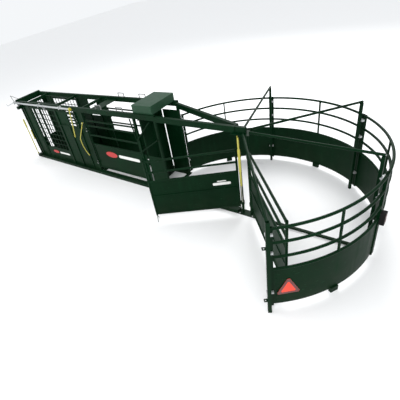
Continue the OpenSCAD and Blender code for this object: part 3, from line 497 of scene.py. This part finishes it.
hex_bolts = repeat_group("hex_bolts", {"Head Radius": 0.013, "Head Thickness": 0.012,
                                       "Washer Radius": 0.018, "Washer Thickness": 0.006},
                         bolt_shape)
galvanised = worn_finish("galvanised", (0.40, 0.42, 0.42), (0.56, 0.58, 0.58), (0.25, 0.23, 0.20),
                         0.42, 0.2, metallic=0.7)
finish_nodes(galvanised, "operating_shaft", "shaft_bearings", "chute_hinge_lugs", "panel_clamps")
SHAFT_Y, SHAFT_Z = -0.110, 2.225
BEARINGS = (-8.995, -7.395, -6.175)
CLAMP_RADIUS = 2.5
spots = [((x, y, 2.267), (0, 0, 1)) for x in BEARINGS for y in (-0.138, -0.060)]
spots += [((x, y, 0.012), (0, 0, 1)) for x in (-0.16, 0.16) for y in (-0.085, 0.065)]
for joint in PANEL_JOINTS[1:4]:
    place, out, along = around(joint, CLAMP_RADIUS, 0)
    spots += [(place + along * side + Vector((0, 0, z)), -out)
              for side in (-0.040, 0.040) for z in (0.44, 1.35, 1.72)]
repeated("frame_bolts", hex_bolts, "frame", galvanised, "galvanised", spots)
spots = [((x + side, SHAFT_Y, SHAFT_Z), (1, 0, 0)) for x in BEARINGS for side in (-0.026, 0.026)]
repeated("shaft_collars", rings, "operating_shaft", galvanised, "galvanised", spots,
         ring_radius=0.031, bead_radius=0.0085)


def loops_mesh(name, loops):
    """A closed mesh from equal loops of points, joined in turn and capped at both ends."""
    mesh = bpy.data.meshes.new(name)
    bm = bmesh.new()
    made = [[bm.verts.new(point) for point in loop] for loop in loops]
    count = len(made[0])
    for low, high in zip(made, made[1:]):
        for i in range(count):
            bm.faces.new((low[i], low[(i + 1) % count], high[(i + 1) % count], high[i]))
    bm.faces.new(list(reversed(made[0])))
    bm.faces.new(made[-1])
    bmesh.ops.recalc_face_normals(bm, faces=bm.faces)
    bm.to_mesh(mesh)
    bm.free()
    return mesh


def tapered_arm(name, x, thick, big, small, length):
    """A flat arm with round ends that hangs from the shaft, with its edges eased."""
    outline = []
    for step in range(17):
        angle = math.pi * step / 16
        outline.append((big * math.cos(angle), big * math.sin(angle)))
    for step in range(17):
        angle = math.pi + math.pi * step / 16
        outline.append((small * math.cos(angle), small * math.sin(angle) - length))
    layers = ((-thick / 2, 0.94), (-thick / 2 + 0.001, 1), (thick / 2 - 0.001, 1),
              (thick / 2, 0.94))
    return loops_mesh(name, [[(x + shift, SHAFT_Y + y * grow, SHAFT_Z + z * grow)
                              for y, z in outline] for shift, grow in layers])


for name, x in (("head", -8.777), ("middle", -7.10)):
    new_piece(f"shaft_arm_{name}", tapered_arm(f"shaft_arm_{name}", x, 0.012, 0.046, 0.024, 0.16),
              "operating_shaft", galvanised)
    repeated(f"arm_bolt_{name}", hex_bolts, "operating_shaft", galvanised, "galvanised",
             [((x + 0.006, SHAFT_Y, SHAFT_Z - 0.157), (1, 0, 0)),
              ((x - 0.006, SHAFT_Y, SHAFT_Z - 0.157), (-1, 0, 0))])

# ---- Yellow levers ----
# Every lever that the operator pulls is bar in yellow enamel, chipped where it is held.
# The grips have moulded ribs, and a binding holds the rope to the foot of the latch lever.
yellow_enamel = worn_finish("yellow_enamel", (0.40, 0.36, 0.03), (0.50, 0.47, 0.10),
                            (0.20, 0.16, 0.08), 0.36, 0.25, coat=0.3)
finish_nodes(yellow_enamel, "shaft_lever", "head_lever", "head_lever_grip", "head_latch_handle",
             "squeeze_lever", "gate_latch_lever")
grip_low = Vector((-8.975, -0.100, 1.253))
grip_way = Vector((0.045, 0, 1.113)).normalized()


def sleeve(name, body, finish, low, high, radius, sides=20):
    """A round tube between two places with its ends eased."""
    way = (high - low).normalized()
    across = way.cross(Vector((0, 1, 0))).normalized()
    other = way.cross(across)
    span = (high - low).length
    stations = ((0, 0.85), (0.003, 1), (span - 0.003, 1), (span, 0.85))
    loops = [[low + way * s + (across * math.cos(t) + other * math.sin(t)) * radius * grow
              for t in (math.tau * k / sides for k in range(sides))] for s, grow in stations]
    new_piece(name, loops_mesh(name, loops), body, finish)


sleeve("head_lever_sleeve", "head_lever", yellow_enamel, grip_low - grip_way * 0.98,
       grip_low - grip_way * 0.01, 0.019)
sleeve("head_grip_sleeve", "head_lever", yellow_enamel, grip_low,
       grip_low + grip_way * 0.332, 0.029)
repeated("head_grip_ribs", rings, "head_lever", yellow_enamel, "yellow",
         [(grip_low + grip_way * (0.02 + 0.024 * n), grip_way) for n in range(13)],
         ring_radius=0.0285, bead_radius=0.003)
lever_tip = Vector((-5.850, -0.140, 1.282))
lever_way = (Vector((-5.622, -0.140, 2.215)) - lever_tip).normalized()
repeated("shaft_grip_ribs", rings, "operating_shaft", yellow_enamel, "yellow",
         [(lever_tip + lever_way * (0.015 + 0.02 * n), lever_way) for n in range(12)],
         ring_radius=0.0175, bead_radius=0.003)
repeated("latch_binding", rings, "gate_latch", yellow_enamel, "yellow",
         [((-0.059, -0.083, 0.86 + 0.016 * n), (0, 0, 1)) for n in range(3)],
         ring_radius=0.019, bead_radius=0.005)

# ---- Lift handles ----
# Four handles of bent round bar, plated and dulled, that are pulled up to free the alley
# gates. Each leg has a collar where it enters the beam.
dark_rod = worn_finish("dark_rod", (0.16, 0.165, 0.165), (0.30, 0.30, 0.29), (0.16, 0.10, 0.06),
                       0.35, 0.0, metallic=0.8)
finish_nodes(dark_rod, *(f"lift_handle_{n}" for n in (1, 2, 3, 4)))
for n, (x, y) in enumerate(((-4.5, 0.0), (-3.64, 0.0), (-4.5, 0.94), (-3.64, 0.94)), 1):
    repeated(f"handle_collars_{n}", rings, f"lift_handle_{n}", dark_rod, "dark_steel",
             [((x + end, y, 2.275), (0, 0, 1)) for end in (0, 0.23)],
             ring_radius=0.0165, bead_radius=0.003)

# ---- Marker triangle ----
# The slow-vehicle triangle on the fence is fluorescent orange sheet, with a dark red
# reflective border that stands a little proud of it.
fluorescent = worn_finish("fluorescent", (0.80, 0.045, 0.018), (0.85, 0.075, 0.035),
                          (0.5, 0.05, 0.03), 0.5, 0.15)
finish_nodes(fluorescent, "marker_triangle")
reflector = worn_finish("reflector", (0.09, 0.003, 0.003), (0.13, 0.008, 0.007), (0.2, 0.02, 0.02),
                        0.3, 0.1, coat=0.5)
TRIANGLE = ((-0.163, 0), (0.163, 0), (0.183, 0.04), (0.02, 0.356), (-0.02, 0.356), (-0.183, 0.04))
TRIANGLE_MIDDLE = 0.125
hub, out, along = around(math.radians(-48.5), TUB_RADIUS, 0.33, 0.014)


def triangle_loop(scale, lift):
    return [hub + out * lift + along * (t * scale)
            + Vector((0, 0, TRIANGLE_MIDDLE + (z - TRIANGLE_MIDDLE) * scale))
            for t, z in TRIANGLE]


border = bpy.data.meshes.new("triangle_border")
bm = bmesh.new()
BORDER_STEPS = ((0.995, 0), (0.985, 0.0012), (0.67, 0.0012), (0.66, 0))
rim = [[bm.verts.new(corner) for corner in triangle_loop(*step)] for step in BORDER_STEPS]
corners = len(TRIANGLE)
for first, second in zip(rim, rim[1:] + rim[:1]):
    for i in range(corners):
        bm.faces.new((first[i], first[(i + 1) % corners], second[(i + 1) % corners], second[i]))
bmesh.ops.recalc_face_normals(bm, faces=bm.faces)
bm.to_mesh(border)
bm.free()
new_piece("triangle_border", border, "frame", reflector)

# ---- Lamp box ----
# The lamp is a moulded black plastic box on a fence joint, with two round domed lenses of
# dark red plastic, one over the other.
black_plastic = worn_finish("black_plastic", (0.003, 0.003, 0.003), (0.010, 0.010, 0.010),
                            (0.03, 0.03, 0.03), 0.55, 0.05, specular=0.2)
finish_nodes(black_plastic, "lamp_box")
lens_red = worn_finish("lens_red", (0.06, 0.003, 0.003), (0.10, 0.01, 0.01), (0.08, 0.01, 0.01),
                       0.18, 0.02, coat=0.3)
LENS_SIDES = 32
LENS_DOME = ((0, 0.042), (0.003, 0.042), (0.004, 0.038), (0.0065, 0.028), (0.0078, 0.014),
             (0.008, 0.004))
for name, z in (("low", 0.885), ("high", 0.995)):
    hub, out, along = around(PANEL_JOINTS[3], TUB_RADIUS, z, 0.104)
    new_piece(f"lamp_lens_{name}", loops_mesh(f"lamp_lens_{name}", [
        [hub + out * lift + (along * math.cos(t) + Vector((0, 0, 1)) * math.sin(t)) * radius
         for t in (math.tau * k / LENS_SIDES for k in range(LENS_SIDES))]
        for lift, radius in LENS_DOME]), "frame", lens_red)

# ---- Tail arms ----
# Two arms brace the near tail door from outside and travel with it, on brackets through its
# slot. A third, short arm hangs from the beam. Each is round tube in green enamel.
ARM_Y, ARM_RADIUS = -0.0475, 0.0172
for name, body, low, high in (
        ("high", "tail_door_near", (-3.085, 1.505), (-2.490, 2.090)),
        ("low", "tail_door_near", (-3.060, 1.145), (-2.330, 1.620)),
        ("short", "frame", (-3.099, 1.519), (-3.176, 2.112))):
    sleeve(f"tail_arm_{name}", body, green_enamel, Vector((low[0], ARM_Y, low[1])),
           Vector((high[0], ARM_Y, high[1])), ARM_RADIUS)

# ---- Plain badges ----
# Printed vinyl badges sit on the alley gate, the squeeze side and the tub's entry gate. They
# are left plain here, red ovals and white bars, with no lettering.
badge_red = worn_finish("badge_red", (0.42, 0.012, 0.012), (0.50, 0.06, 0.05), (0.3, 0.1, 0.08),
                        0.4, 0.05)
badge_white = worn_finish("badge_white", (0.74, 0.75, 0.72), (0.62, 0.63, 0.60), (0.5, 0.5, 0.48),
                          0.4, 0.05)


def badge(name, body, finish, middle, along, outward, half_long, half_high, power):
    """A thin plate with a rounded outline, from an oval at power 2 to a bar at power 8."""
    loops = []
    for lift, grow in ((0.0002, 1.0), (0.0010, 1.0), (0.0014, 0.985)):
        loop = []
        for k in range(64):
            t = math.tau * k / 64
            c, d = math.cos(t), math.sin(t)
            reach = (abs(c) ** power + abs(d) ** power) ** (-1 / power)
            loop.append(middle + outward * lift + along * (c * reach * half_long * grow)
                        + Vector((0, 0, d * reach * half_high * grow)))
        loops.append(loop)
    new_piece(name, loops_mesh(name, loops), body, finish)


CHUTE_WAY, CHUTE_OUT = Vector((1, 0, 0)), Vector((0, -1, 0))
badge("alley_badge_red", "alley_door_near", badge_red, Vector((-4.46, -0.002, 0.80)), CHUTE_WAY,
      CHUTE_OUT, 0.25, 0.095, 2)
badge("alley_badge_white", "alley_door_near", badge_white, Vector((-3.70, -0.002, 0.80)),
      CHUTE_WAY, CHUTE_OUT, 0.43, 0.05, 8)
badge("squeeze_badge_red", "squeeze_near", badge_red, Vector((-7.72, -0.002, 0.375)), CHUTE_WAY,
      CHUTE_OUT, 0.18, 0.06, 2)
badge("squeeze_badge_white", "squeeze_near", badge_white, Vector((-7.17, -0.002, 0.375)),
      CHUTE_WAY, CHUTE_OUT, 0.30, 0.034, 8)
pivot, heading, _ = GATES["entry_gate"]
gate_way = Vector((math.cos(heading), math.sin(heading), 0))
gate_out = Vector((-gate_way.y, gate_way.x, 0))
badge("gate_badge_low", "entry_gate", badge_white,
      pivot + gate_way * 0.43 + gate_out * 0.002 + Vector((0, 0, 0.885)), gate_way, gate_out,
      0.20, 0.035, 8)
badge("gate_badge_high", "entry_gate", badge_white,
      pivot + gate_way * 0.43 + gate_out * 0.002 + Vector((0, 0, 0.955)), gate_way, gate_out,
      0.10, 0.012, 8)
